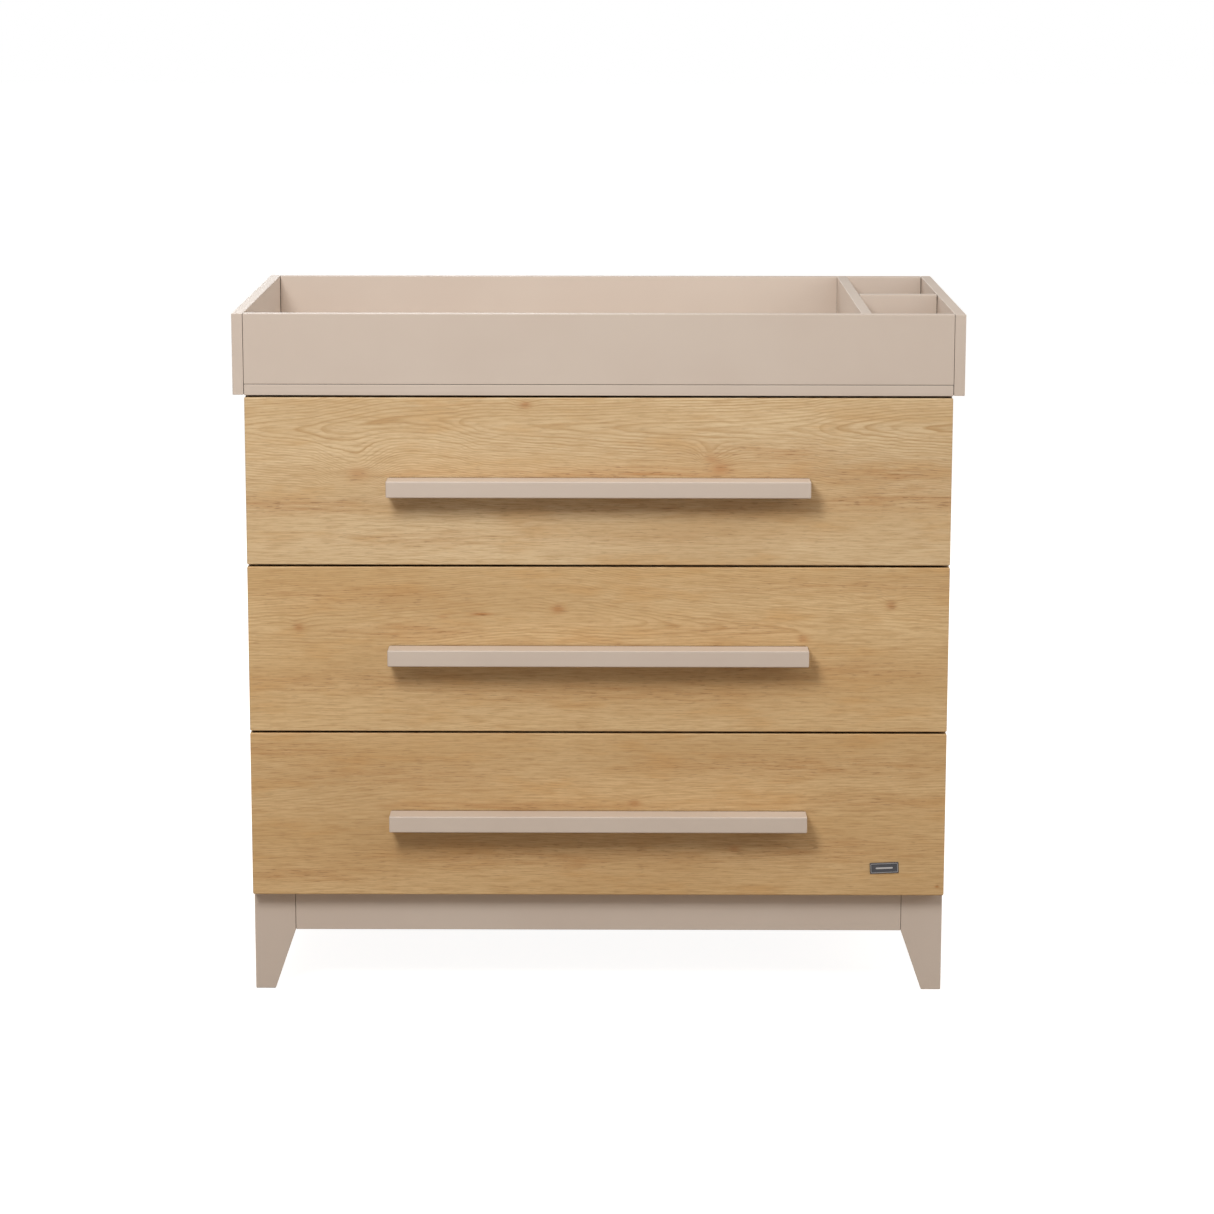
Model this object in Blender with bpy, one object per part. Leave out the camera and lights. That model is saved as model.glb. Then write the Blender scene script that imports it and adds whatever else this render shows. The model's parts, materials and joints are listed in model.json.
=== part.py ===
"""Changing table: a chest of three drawers on tapered feet, with a lift-off changing frame on its top panel.

Metres, +Z up, front towards -Y, origin on the floor in the middle of the overall box.
Depths below are counted backwards from the plane of the drawer faces, and world_y() turns one into Y.
"""

import math

import bmesh
import bpy
from mathutils import Vector

# Overall sizes
WIDTH = 1.000  # across the changing frame
DEPTH = 0.530  # from the drawer faces to the rear edges
HEIGHT = 0.9615  # from the floor to the rim of the changing frame

# Boards
BOARD = 0.015  # painted panels and rails
FRONT_BOARD = 0.018  # drawer fronts
BOX_BOARD = 0.012  # drawer box sides and backs
BOX_BOTTOM = 0.004  # drawer bottoms
BACK_BOARD = 0.003  # carcass back

# Clearances
TOUCH = 0.0003  # between pieces fixed face to face
FRAME_PLAY = 0.0005  # each side, between the changing frame and the chest
FRONT_REVEAL = 0.0028  # gap above and between the drawer fronts
FRONT_STANDOFF = 0.002  # between a drawer front and the carcass edges behind it

# Changing frame
RIM_HEIGHT = 0.097  # of its walls above the top panel
CHEEK_LAP = 0.0144  # how far its end panels hang over the top panel's edges
SIDE_TRAY_CLEAR = 0.1120  # clear width of the two compartments beside the changing area

# Feet and plinth
PLINTH_TOP = 0.1450  # underside of the bottom panel
RAIL_HEIGHT = 0.0585
FOOT_TOP_WIDTH = 0.0576
FOOT_TIP_WIDTH = 0.0277

# Drawers, counted from the top
DRAWERS = 3
FRONT_OVERLAP = 0.0017  # of the lowest front below the top of the plinth
BOX_RISE = 0.028  # of the box above the lower edge of its front
BOX_DROP = 0.0346  # of the box below the upper edge of its front
BOX_OVERRUN = 0.001  # of the box behind its slides
BOTTOM_RISE = 0.012  # of the drawer bottom above the lower edges of its box
GROOVE_DEPTH = 0.006  # grooves that hold the drawer bottoms and the carcass back
BACK_INSET = 0.012  # from the rear edges to the carcass back

# Handles
HANDLE_LENGTH = 0.580
HANDLE_HEIGHT = 0.023
HANDLE_DEPTH = 0.034
HANDLE_RISE = 0.0056  # of the handle's top above the middle of its drawer front
HANDLE_LIP = 0.011  # wall in front of the finger groove
HANDLE_ROOF = 0.009  # wall above it
HANDLE_END = 0.020  # solid length at each end

# Telescopic slides, three members on each side of a drawer
SLIDE_STEP = 0.050  # slides come in lengths of whole steps, and the longest that fits is used
REAR_SPACE = 0.040  # least space between the slides and the carcass back
SLIDE_WIDTH = 0.0127
SLIDE_STEEL = 0.0012
SLIDE_SETBACK = 0.002  # behind the carcass front edges
OUTER_HALF_HEIGHT = 0.0225
MIDDLE_HALF_HEIGHT = 0.0185
INNER_HALF_HEIGHT = 0.0142
OUTER_REACH = 0.0090  # depth of the outer channel from the carcass side
MIDDLE_OFFSET = 0.0026  # of the middle channel's web from the carcass side
MIDDLE_REACH = 0.0082
INNER_REACH = 0.0072

# Brackets that hold the changing frame at the back, each hooked over one screw
BRACKET_WIDTH = 0.030
BRACKET_STEEL = 0.0015
BRACKET_ABOVE = 0.045  # above the top panel
BRACKET_BELOW = 0.013  # below the top panel's surface
BRACKET_INSET = 0.180  # from the chest's sides to the bracket's middle
SCREW_RADIUS = 0.0020
SCREW_HEAD_RADIUS = 0.0042
SCREW_HEAD_CROWN = 0.0034  # radius of the flat top of the head
SCREW_HEAD = 0.0022
SCREW_LENGTH = 0.020
SCREW_PLAY = 0.0007  # around the shank, in the bracket's slot
SCREW_SIDES = 16
WELD = 0.00003  # points of a turned profile that meet on its axis

# Badge on the bottom drawer
BADGE_WIDTH = 0.0400
BADGE_HEIGHT = 0.0155
BADGE_STEEL = 0.0010
BADGE_FROM_SIDE = 0.0840  # from the right edge of the front to the badge's middle
BADGE_FROM_BELOW = 0.0404  # from the lower edge of the front to the badge's middle
BADGE_TILT = math.radians(2.5)  # its right end is the higher one

# Edge rounding
EDGE = 0.0010
FRONT_EDGE = 0.0020
HANDLE_EDGE = 0.0018
BADGE_EDGE = 0.0003
EDGE_STEPS = 2
FINE_EDGE_STEPS = 3
MOST_OF_WALL = 0.3  # the largest share of a piece's thinnest side that its rounding may take
SHARP_ANGLE = math.radians(20)
SMOOTH_ANGLE = math.radians(40)

# Worked out from the sizes above
TOP_SURFACE = HEIGHT - RIM_HEIGHT
BODY_WIDTH = WIDTH - 2 * BOARD - 2 * FRAME_PLAY
BODY_HALF = BODY_WIDTH / 2
INNER_HALF = BODY_HALF - BOARD
RECESS = FRONT_BOARD + FRONT_STANDOFF
BACK_FRONT = DEPTH - BACK_INSET - BACK_BOARD  # depth of the carcass back's front face
SLIDE_FRONT = RECESS + SLIDE_SETBACK
SLIDE_LENGTH = SLIDE_STEP * math.floor((BACK_FRONT - SLIDE_FRONT - REAR_SPACE) / SLIDE_STEP)
BOX_REAR = SLIDE_FRONT + SLIDE_LENGTH + BOX_OVERRUN
RAIL_BOTTOM = PLINTH_TOP - RAIL_HEIGHT
BOTTOM_SURFACE = PLINTH_TOP + BOARD
TOP_UNDERSIDE = TOP_SURFACE - BOARD
BOX_HALF = INNER_HALF - SLIDE_WIDTH - 2 * TOUCH
DRAWER_PITCH = (TOP_UNDERSIDE - PLINTH_TOP + FRONT_OVERLAP) / DRAWERS
FRONT_HEIGHT = DRAWER_PITCH - FRONT_REVEAL
BOX_HEIGHT = FRONT_HEIGHT - BOX_RISE - BOX_DROP
BACK_PLAY = BRACKET_STEEL + SCREW_HEAD + 2 * TOUCH  # what stands out behind the rear edges
FRONT_Y = (HANDLE_DEPTH + TOUCH - DEPTH - BACK_PLAY) / 2

# Finishes: material name, display colour, roughness and metallic
FINISHES = {
    "paint": ("satin_paint", (0.79, 0.73, 0.67), 0.45, 0.0),
    "oak": ("oak_foil", (0.76, 0.61, 0.43), 0.50, 0.0),
    "box": ("drawer_box_foil", (0.86, 0.84, 0.80), 0.55, 0.0),
    "hardboard": ("hardboard", (0.80, 0.76, 0.70), 0.70, 0.0),
    "steel": ("zinc_steel", (0.72, 0.73, 0.74), 0.35, 1.0),
    "badge": ("badge_plate", (0.30, 0.30, 0.32), 0.40, 0.6),
}


def world_y(depth):
    """Y of a plane at this depth behind the drawer faces."""
    return FRONT_Y + depth


def linear(channel):
    """A display colour channel as the linear value that a shader takes."""
    return channel / 12.92 if channel <= 0.04045 else ((channel + 0.055) / 1.055) ** 2.4


def clear_scene():
    for obj in list(bpy.data.objects):
        bpy.data.objects.remove(obj)


def make_material(name, rgb, roughness, metallic):
    material = bpy.data.materials.new(name)
    material.use_nodes = True
    shader = material.node_tree.nodes["Principled BSDF"]
    shader.inputs["Base Color"].default_value = (*map(linear, rgb), 1.0)
    shader.inputs["Roughness"].default_value = roughness
    shader.inputs["Metallic"].default_value = metallic
    material.diffuse_color = (*map(linear, rgb), 1.0)
    return material


def make_materials():
    return {slot: make_material(*finish) for slot, finish in FINISHES.items()}


def make_axis(name, point):
    """An empty that the pieces of one moving body hang from, on its joint's line."""
    empty = bpy.data.objects.new(name, None)
    empty.empty_display_size = BOARD
    empty.location = point
    bpy.context.scene.collection.objects.link(empty)
    return empty


def link_mesh(name, mesh_builder, place, material, parent=None):
    """One object from a bmesh built around its own origin, put at place in the world."""
    mesh = bpy.data.meshes.new(name)
    bmesh.ops.recalc_face_normals(mesh_builder, faces=mesh_builder.faces)
    mesh_builder.to_mesh(mesh)
    mesh_builder.free()
    obj = bpy.data.objects.new(name, mesh)
    bpy.context.scene.collection.objects.link(obj)
    obj.location = Vector(place)
    if material:
        mesh.materials.append(material)
    if parent:
        obj.parent = parent
        obj.location -= parent.location
    return obj


def box_builder(size):
    """A bmesh box of this size about the origin."""
    builder = bmesh.new()
    bmesh.ops.create_cube(builder, size=1.0)
    bmesh.ops.scale(builder, vec=Vector(size), verts=builder.verts)
    return builder


def thinnest_side(mesh):
    spans = []
    for axis in range(3):
        values = [vert.co[axis] for vert in mesh.vertices]
        spans.append(max(values) - min(values))
    return min(spans)


def round_edges(obj, radius, steps=EDGE_STEPS):
    """Rounds the sharp edges, within what the thinnest side allows."""
    bevel = obj.modifiers.new("rounded_edges", "BEVEL")
    bevel.width = min(radius, MOST_OF_WALL * thinnest_side(obj.data))
    bevel.segments = steps
    bevel.limit_method = "ANGLE"
    bevel.angle_limit = SHARP_ANGLE
    return obj


def board(name, x_span, depth_span, z_span, material, parent=None, edge=EDGE, steps=EDGE_STEPS):
    """A board between two X values, two depths and two heights."""
    low = Vector((x_span[0], world_y(depth_span[0]), z_span[0]))
    high = Vector((x_span[1], world_y(depth_span[1]), z_span[1]))
    obj = link_mesh(name, box_builder(high - low), (low + high) / 2, material, parent)
    return round_edges(obj, edge, steps)


def extrude_outline(name, outline, axis, span, place, material, parent=None):
    """A prism: an outline in the plane across an axis, run along it over a span about the place."""
    builder = bmesh.new()
    corners = []
    for a, b in outline:
        point = {"X": (span[0], a, b), "Y": (a, span[0], b), "Z": (a, b, span[0])}[axis]
        corners.append(builder.verts.new(point))
    face = builder.faces.new(corners)
    run = Vector([span[1] - span[0] if axis == name_of else 0.0 for name_of in "XYZ"])
    grown = bmesh.ops.extrude_face_region(builder, geom=[face])
    moved = [item for item in grown["geom"] if isinstance(item, bmesh.types.BMVert)]
    bmesh.ops.translate(builder, vec=run, verts=moved)
    return link_mesh(name, builder, place, material, parent)


def cut(obj, cutter):
    """Takes the cutter's shape out of obj."""
    cutter.hide_render = True
    cutter.display_type = "WIRE"
    boolean = obj.modifiers.new("cut_" + cutter.name, "BOOLEAN")
    boolean.object = cutter
    boolean.operation = "DIFFERENCE"
    boolean.solver = "EXACT"
    return obj


def cutter_box(name, x_span, depth_span, z_span, parent=None):
    low = Vector((min(x_span), world_y(min(depth_span)), min(z_span)))
    high = Vector((max(x_span), world_y(max(depth_span)), max(z_span)))
    return link_mesh(name, box_builder(high - low), (low + high) / 2, None, parent)


def mirrored(side, near, far):
    """The X span between two distances from the middle plane, on side -1 or +1, low value first."""
    return tuple(sorted((side * near, side * far)))


SIDES = (("left", -1), ("right", 1))


# Chest carcass


def back_groove_depths():
    """Depths of the groove that the carcass back stands in."""
    return BACK_FRONT - TOUCH, BACK_FRONT + BACK_BOARD + TOUCH


def make_side_panels(materials):
    for word, side in SIDES:
        panel = board(
            word + "_side_panel",
            mirrored(side, INNER_HALF, BODY_HALF),
            (RECESS, DEPTH),
            (PLINTH_TOP + TOUCH, TOP_UNDERSIDE - TOUCH),
            materials["paint"],
        )
        groove = cutter_box(
            word + "_back_groove",
            mirrored(side, INNER_HALF - GROOVE_DEPTH, INNER_HALF + GROOVE_DEPTH),
            back_groove_depths(),
            (0.0, HEIGHT),
        )
        cut(panel, groove)


def make_top_panel(materials):
    panel = board(
        "top_panel",
        (-BODY_HALF, BODY_HALF),
        (0.0, DEPTH),
        (TOP_UNDERSIDE, TOP_SURFACE),
        materials["paint"],
    )
    for word, side in SIDES:
        hole = link_mesh(
            word + "_screw_hole",
            rod_builder(SCREW_RADIUS + TOUCH, 2 * (SCREW_LENGTH + TOUCH)),
            (side * bracket_x(), world_y(DEPTH), screw_z()),
            None,
        )
        cut(panel, hole)


def make_bottom_and_back(materials):
    board(
        "bottom_panel",
        (-INNER_HALF + TOUCH, INNER_HALF - TOUCH),
        (RECESS, back_groove_depths()[0]),
        (PLINTH_TOP + TOUCH, BOTTOM_SURFACE),
        materials["paint"],
    )
    front, rear = back_groove_depths()
    reach = INNER_HALF + GROOVE_DEPTH - TOUCH
    board(
        "back_panel",
        (-reach, reach),
        (front + TOUCH, rear - TOUCH),
        (PLINTH_TOP + TOUCH, TOP_UNDERSIDE - TOUCH),
        materials["hardboard"],
    )


def make_foot(name, side, front, materials):
    """A foot that is square under the carcass and tapers on its two inner faces below the rails."""
    corner_x = side * BODY_HALF
    corner_y = world_y(RECESS if front else DEPTH)
    inward_x = -side
    inward_y = 1 if front else -1
    levels = ((PLINTH_TOP, FOOT_TOP_WIDTH), (RAIL_BOTTOM, FOOT_TOP_WIDTH), (0.0, FOOT_TIP_WIDTH))
    builder = bmesh.new()
    rings = []
    for z, width in levels:
        corners = ((0, 0), (inward_x * width, 0), (inward_x * width, inward_y * width), (0, inward_y * width))
        rings.append([builder.verts.new((x, y, z)) for x, y in corners])
    builder.faces.new(rings[0])
    builder.faces.new(rings[-1])
    for upper, lower in zip(rings, rings[1:]):
        for i in range(4):
            j = (i + 1) % 4
            builder.faces.new((upper[i], upper[j], lower[j], lower[i]))
    foot = link_mesh(name, builder, (corner_x, corner_y, 0.0), materials["paint"])
    round_edges(foot, EDGE)


def make_feet(materials):
    for row, front in (("front", True), ("back", False)):
        for word, side in SIDES:
            make_foot(f"{row}_{word}_foot", side, front, materials)


def make_plinth_rails(materials):
    z_span = (RAIL_BOTTOM, PLINTH_TOP)
    half = BODY_HALF - FOOT_TOP_WIDTH - TOUCH
    for row, depths in (("front", (RECESS, RECESS + BOARD)), ("back", (DEPTH - BOARD, DEPTH))):
        board(row + "_plinth_rail", (-half, half), depths, z_span, materials["paint"])
    depths = (RECESS + FOOT_TOP_WIDTH + TOUCH, DEPTH - FOOT_TOP_WIDTH - TOUCH)
    for word, side in SIDES:
        x_span = mirrored(side, BODY_HALF - BOARD, BODY_HALF)
        board(word + "_plinth_rail", x_span, depths, z_span, materials["paint"])


# Changing frame


def divider_span():
    """X span of the divider between the changing area and the side compartments."""
    right = WIDTH / 2 - BOARD - SIDE_TRAY_CLEAR
    return right - BOARD, right


def make_changing_frame(materials):
    axis = make_axis("changing_frame", (0.0, world_y(DEPTH / 2), TOP_SURFACE))
    paint = materials["paint"]
    walls = (TOP_SURFACE + TOUCH, HEIGHT)
    inside = WIDTH / 2 - BOARD - TOUCH
    for word, side in SIDES:
        x_span = mirrored(side, WIDTH / 2 - BOARD, WIDTH / 2)
        heights = (TOP_SURFACE - CHEEK_LAP, HEIGHT)
        board(f"changer_{word}_panel", x_span, (0.0, DEPTH), heights, paint, axis)
    board("changer_front_panel", (-inside, inside), (0.0, BOARD), walls, paint, axis)
    board("changer_back_panel", (-inside, inside), (DEPTH - BOARD, DEPTH), walls, paint, axis)
    depths = (BOARD + TOUCH, DEPTH - BOARD - TOUCH)
    board("changer_divider", divider_span(), depths, walls, paint, axis)
    middle = DEPTH / 2
    board(
        "changer_cross_divider",
        (divider_span()[1] + TOUCH, inside),
        (middle - BOARD / 2, middle + BOARD / 2),
        walls,
        paint,
        axis,
    )
    make_brackets(materials, axis)


def bracket_x():
    return BODY_HALF - BRACKET_INSET


def screw_z():
    return TOP_SURFACE - BOARD / 2


def rod_builder(radius, length):
    """A round rod along Y about the origin."""
    builder = bmesh.new()
    bmesh.ops.create_cone(
        builder,
        cap_ends=True,
        segments=SCREW_SIDES,
        radius1=radius,
        radius2=radius,
        depth=length,
    )
    turn_to_y(builder)
    return builder


def turn_to_y(builder):
    for vert in builder.verts:
        vert.co = Vector((vert.co.x, vert.co.z, -vert.co.y))


def fork_outline():
    """The bracket seen from behind: a plate with a slot that opens downwards and ends in a half circle."""
    slot = SCREW_RADIUS + SCREW_PLAY
    half = BRACKET_WIDTH / 2
    low, high = -BRACKET_BELOW, BRACKET_ABOVE
    centre = screw_z() - TOP_SURFACE
    steps = SCREW_SIDES // 2
    arc = []
    for i in range(steps + 1):
        angle = math.pi * i / steps
        arc.append((slot * math.cos(angle), centre + slot * math.sin(angle)))
    return [(-half, low), (-half, high), (half, high), (half, low), (slot, low), *arc, (-slot, low)]


def screw_builder():
    """A screw along Y with its head towards +Y, turned as one profile. Its head starts at the origin."""
    profile = (
        (0.0, SCREW_HEAD),
        (SCREW_HEAD_CROWN, SCREW_HEAD),
        (SCREW_HEAD_RADIUS, SCREW_HEAD / 2),
        (SCREW_HEAD_RADIUS, 0.0),
        (SCREW_RADIUS, 0.0),
        (SCREW_RADIUS, -SCREW_LENGTH),
        (0.0, -SCREW_LENGTH - SCREW_RADIUS / 2),
    )
    builder = bmesh.new()
    verts = [builder.verts.new((radius, height, 0.0)) for radius, height in profile]
    edges = [builder.edges.new(pair) for pair in zip(verts, verts[1:])]
    bmesh.ops.spin(
        builder,
        geom=verts + edges,
        axis=(0.0, 1.0, 0.0),
        cent=(0.0, 0.0, 0.0),
        steps=SCREW_SIDES,
        angle=2 * math.pi,
        use_merge=True,
    )
    bmesh.ops.remove_doubles(builder, verts=builder.verts, dist=WELD)
    return builder


def make_brackets(materials, axis):
    steel = materials["steel"]
    for word, side in SIDES:
        x = side * bracket_x()
        near = DEPTH + TOUCH
        extrude_outline(
            f"changer_{word}_bracket",
            fork_outline(),
            "Y",
            (0.0, BRACKET_STEEL),
            (x, world_y(near), TOP_SURFACE),
            steel,
            axis,
        )
        head = (x, world_y(near + BRACKET_STEEL + TOUCH), screw_z())
        screw = link_mesh(word + "_bracket_screw", screw_builder(), head, steel)
        screw.data.shade_smooth()
        screw.data.set_sharp_from_angle(angle=SMOOTH_ANGLE)


# Drawers


def front_bottom(number):
    """Height of the lower edge of a drawer front, counted from 1 at the top."""
    return TOP_UNDERSIDE - number * DRAWER_PITCH


def box_heights(number):
    low = front_bottom(number) + BOX_RISE
    return low, low + BOX_HEIGHT


def bottom_heights(number):
    low = box_heights(number)[0] + BOTTOM_RISE
    return low, low + BOX_BOTTOM


def bottom_half():
    return BOX_HALF - BOX_BOARD + GROOVE_DEPTH - TOUCH


def bottom_cutter(number, axis):
    """The space of the drawer bottom with its clearance all round, which cuts the grooves for it."""
    low, high = bottom_heights(number)
    reach = bottom_half() + TOUCH
    return cutter_box(
        f"drawer_{number}_bottom_groove",
        (-reach, reach),
        (FRONT_BOARD - GROOVE_DEPTH, BOX_REAR + BOARD),
        (low - TOUCH, high + TOUCH),
        axis,
    )


def make_drawer(number, materials):
    middle = front_bottom(number) + FRONT_HEIGHT / 2
    axis = make_axis(f"drawer_{number}", (0.0, world_y(0.0), middle))
    groove = bottom_cutter(number, axis)
    name = f"drawer_{number}_"
    heights = (front_bottom(number), front_bottom(number) + FRONT_HEIGHT)
    front = board(
        name + "front",
        (-BODY_HALF, BODY_HALF),
        (0.0, FRONT_BOARD),
        heights,
        materials["oak"],
        axis,
        FRONT_EDGE,
        FINE_EDGE_STEPS,
    )
    cut(front, groove)
    for word, side in SIDES:
        x_span = mirrored(side, BOX_HALF - BOX_BOARD, BOX_HALF)
        depths = (FRONT_BOARD + TOUCH, BOX_REAR)
        panel = board(
            f"{name}{word}_side", x_span, depths, box_heights(number), materials["box"], axis
        )
        cut(panel, groove)
    inside = BOX_HALF - BOX_BOARD - TOUCH
    low, high = bottom_heights(number)
    board(
        name + "back",
        (-inside, inside),
        (BOX_REAR - BOX_BOARD, BOX_REAR),
        (high + TOUCH, box_heights(number)[1]),
        materials["box"],
        axis,
    )
    board(
        name + "bottom",
        (-bottom_half(), bottom_half()),
        (FRONT_BOARD - GROOVE_DEPTH + TOUCH, BOX_REAR),
        (low, high),
        materials["box"],
        axis,
    )
    make_handle(name, middle, materials, axis)
    return axis


def make_handle(name, middle, materials, axis):
    """A painted bar with a finger groove on its underside, closed at both ends."""
    top = middle + HANDLE_RISE
    half = HANDLE_LENGTH / 2
    rear = -TOUCH
    front = rear - HANDLE_DEPTH
    handle = board(
        name + "handle",
        (-half, half),
        (front, rear),
        (top - HANDLE_HEIGHT, top),
        materials["paint"],
        axis,
        HANDLE_EDGE,
        FINE_EDGE_STEPS,
    )
    groove = cutter_box(
        name + "finger_groove",
        (-half + HANDLE_END, half - HANDLE_END),
        (front + HANDLE_LIP, rear + HANDLE_LIP),
        (top - HANDLE_HEIGHT - HANDLE_LIP, top - HANDLE_ROOF),
        axis,
    )
    cut(handle, groove)


def make_badge(axis, materials):
    """A small plain plate on the bottom drawer's front, set slightly askew."""
    x = BODY_HALF - BADGE_FROM_SIDE
    z = front_bottom(DRAWERS) + BADGE_FROM_BELOW
    place = (x, world_y(-TOUCH - BADGE_STEEL / 2), z)
    size = (BADGE_WIDTH, BADGE_STEEL, BADGE_HEIGHT)
    name = f"drawer_{DRAWERS}_badge"
    badge = link_mesh(name, box_builder(size), place, materials["badge"], axis)
    badge.rotation_euler.y = -BADGE_TILT
    round_edges(badge, BADGE_EDGE, 1)


# Telescopic slides


def channel_outline(side, web, reach, half_height, opens):
    """A C-shaped section in X and Z. web is the far X of its web, and opens is +1 or -1 along X."""
    inner_web = web + opens * SLIDE_STEEL
    tip = web + opens * reach
    lip = half_height - SLIDE_STEEL
    points = (
        (web, -half_height),
        (tip, -half_height),
        (tip, -lip),
        (inner_web, -lip),
        (inner_web, lip),
        (tip, lip),
        (tip, half_height),
        (web, half_height),
    )
    return [(side * x, z) for x, z in points]


def make_slides(number, drawer_axis, materials):
    low, high = box_heights(number)
    z = (low + high) / 2
    middle_axis = make_axis(f"slide_middle_{number}", (0.0, world_y(SLIDE_FRONT), z))
    wall = INNER_HALF - TOUCH
    members = (
        ("outer", wall, OUTER_REACH, OUTER_HALF_HEIGHT, -1, None),
        ("middle", wall - MIDDLE_OFFSET, MIDDLE_REACH, MIDDLE_HALF_HEIGHT, -1, middle_axis),
        ("inner", wall - SLIDE_WIDTH, INNER_REACH, INNER_HALF_HEIGHT, 1, drawer_axis),
    )
    for word, side in SIDES:
        for member, web, reach, half_height, opens, parent in members:
            extrude_outline(
                f"slide_{number}_{word}_{member}",
                channel_outline(side, web, reach, half_height, opens),
                "Y",
                (0.0, SLIDE_LENGTH),
                (0.0, world_y(SLIDE_FRONT), z),
                materials["steel"],
                parent,
            )


def build():
    clear_scene()
    materials = make_materials()
    make_side_panels(materials)
    make_top_panel(materials)
    make_bottom_and_back(materials)
    make_feet(materials)
    make_plinth_rails(materials)
    make_changing_frame(materials)
    for number in range(1, DRAWERS + 1):
        drawer_axis = make_drawer(number, materials)
        make_slides(number, drawer_axis, materials)
        if number == DRAWERS:
            make_badge(drawer_axis, materials)


build()
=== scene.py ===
"""Looks of the changing table around its CAD frame: materials, small fittings, floor, light and camera."""

import json
import math

import bmesh
import bpy
from mathutils import Matrix, Vector


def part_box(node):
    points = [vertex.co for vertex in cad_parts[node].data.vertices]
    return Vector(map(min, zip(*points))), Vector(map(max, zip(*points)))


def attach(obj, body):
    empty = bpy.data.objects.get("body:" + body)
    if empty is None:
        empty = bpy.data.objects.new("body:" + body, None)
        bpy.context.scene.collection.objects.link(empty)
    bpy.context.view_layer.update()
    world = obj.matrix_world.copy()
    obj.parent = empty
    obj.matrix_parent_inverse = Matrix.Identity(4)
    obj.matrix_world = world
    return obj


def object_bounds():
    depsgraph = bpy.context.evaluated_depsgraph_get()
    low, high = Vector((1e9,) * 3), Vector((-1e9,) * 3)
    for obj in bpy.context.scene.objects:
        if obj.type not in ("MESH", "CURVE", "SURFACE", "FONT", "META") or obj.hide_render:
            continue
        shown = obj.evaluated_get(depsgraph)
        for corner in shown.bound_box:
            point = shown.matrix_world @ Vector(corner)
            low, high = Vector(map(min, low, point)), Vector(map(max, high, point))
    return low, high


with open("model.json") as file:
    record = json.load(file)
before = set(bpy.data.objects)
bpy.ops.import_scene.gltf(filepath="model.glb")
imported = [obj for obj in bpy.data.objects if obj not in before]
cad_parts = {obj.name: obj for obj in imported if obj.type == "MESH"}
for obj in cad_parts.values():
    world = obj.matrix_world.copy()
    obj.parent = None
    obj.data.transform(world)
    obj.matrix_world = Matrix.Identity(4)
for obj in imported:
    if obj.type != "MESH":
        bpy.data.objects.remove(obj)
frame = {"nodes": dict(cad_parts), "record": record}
CAD_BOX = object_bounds()
NODES = frame["nodes"]

DRAWERS = (1, 2, 3)
SIDES = (("left", -1), ("right", 1))


# ---------------------------------------------------------------- shader helpers

DISPLAY_KNEE = 0.04045  # below it a display value is linear
DISPLAY_SLOPE = 12.92
DISPLAY_OFFSET = 0.055
DISPLAY_POWER = 2.4
WHITE = (1.0, 1.0, 1.0, 1.0)
# Painted shade: a colour is darkened where another surface is near, as in seams and in the gaps between parts
GAP_SHADE_SAMPLES = 6
GAP_SHADE_PROFILE = ((0.0, 1.0), (0.35, 0.85), (0.62, 0.0), (1.0, 0.0))  # (how open a place is, how dark its painted shade is)


def linear(channel):
    """A display colour channel, 0 to 255, as the linear value that a shader takes."""
    c = channel / 255
    if c <= DISPLAY_KNEE:
        return c / DISPLAY_SLOPE
    return ((c + DISPLAY_OFFSET) / (1 + DISPLAY_OFFSET)) ** DISPLAY_POWER


def colour(red, green, blue):
    return (linear(red), linear(green), linear(blue), 1.0)


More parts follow.
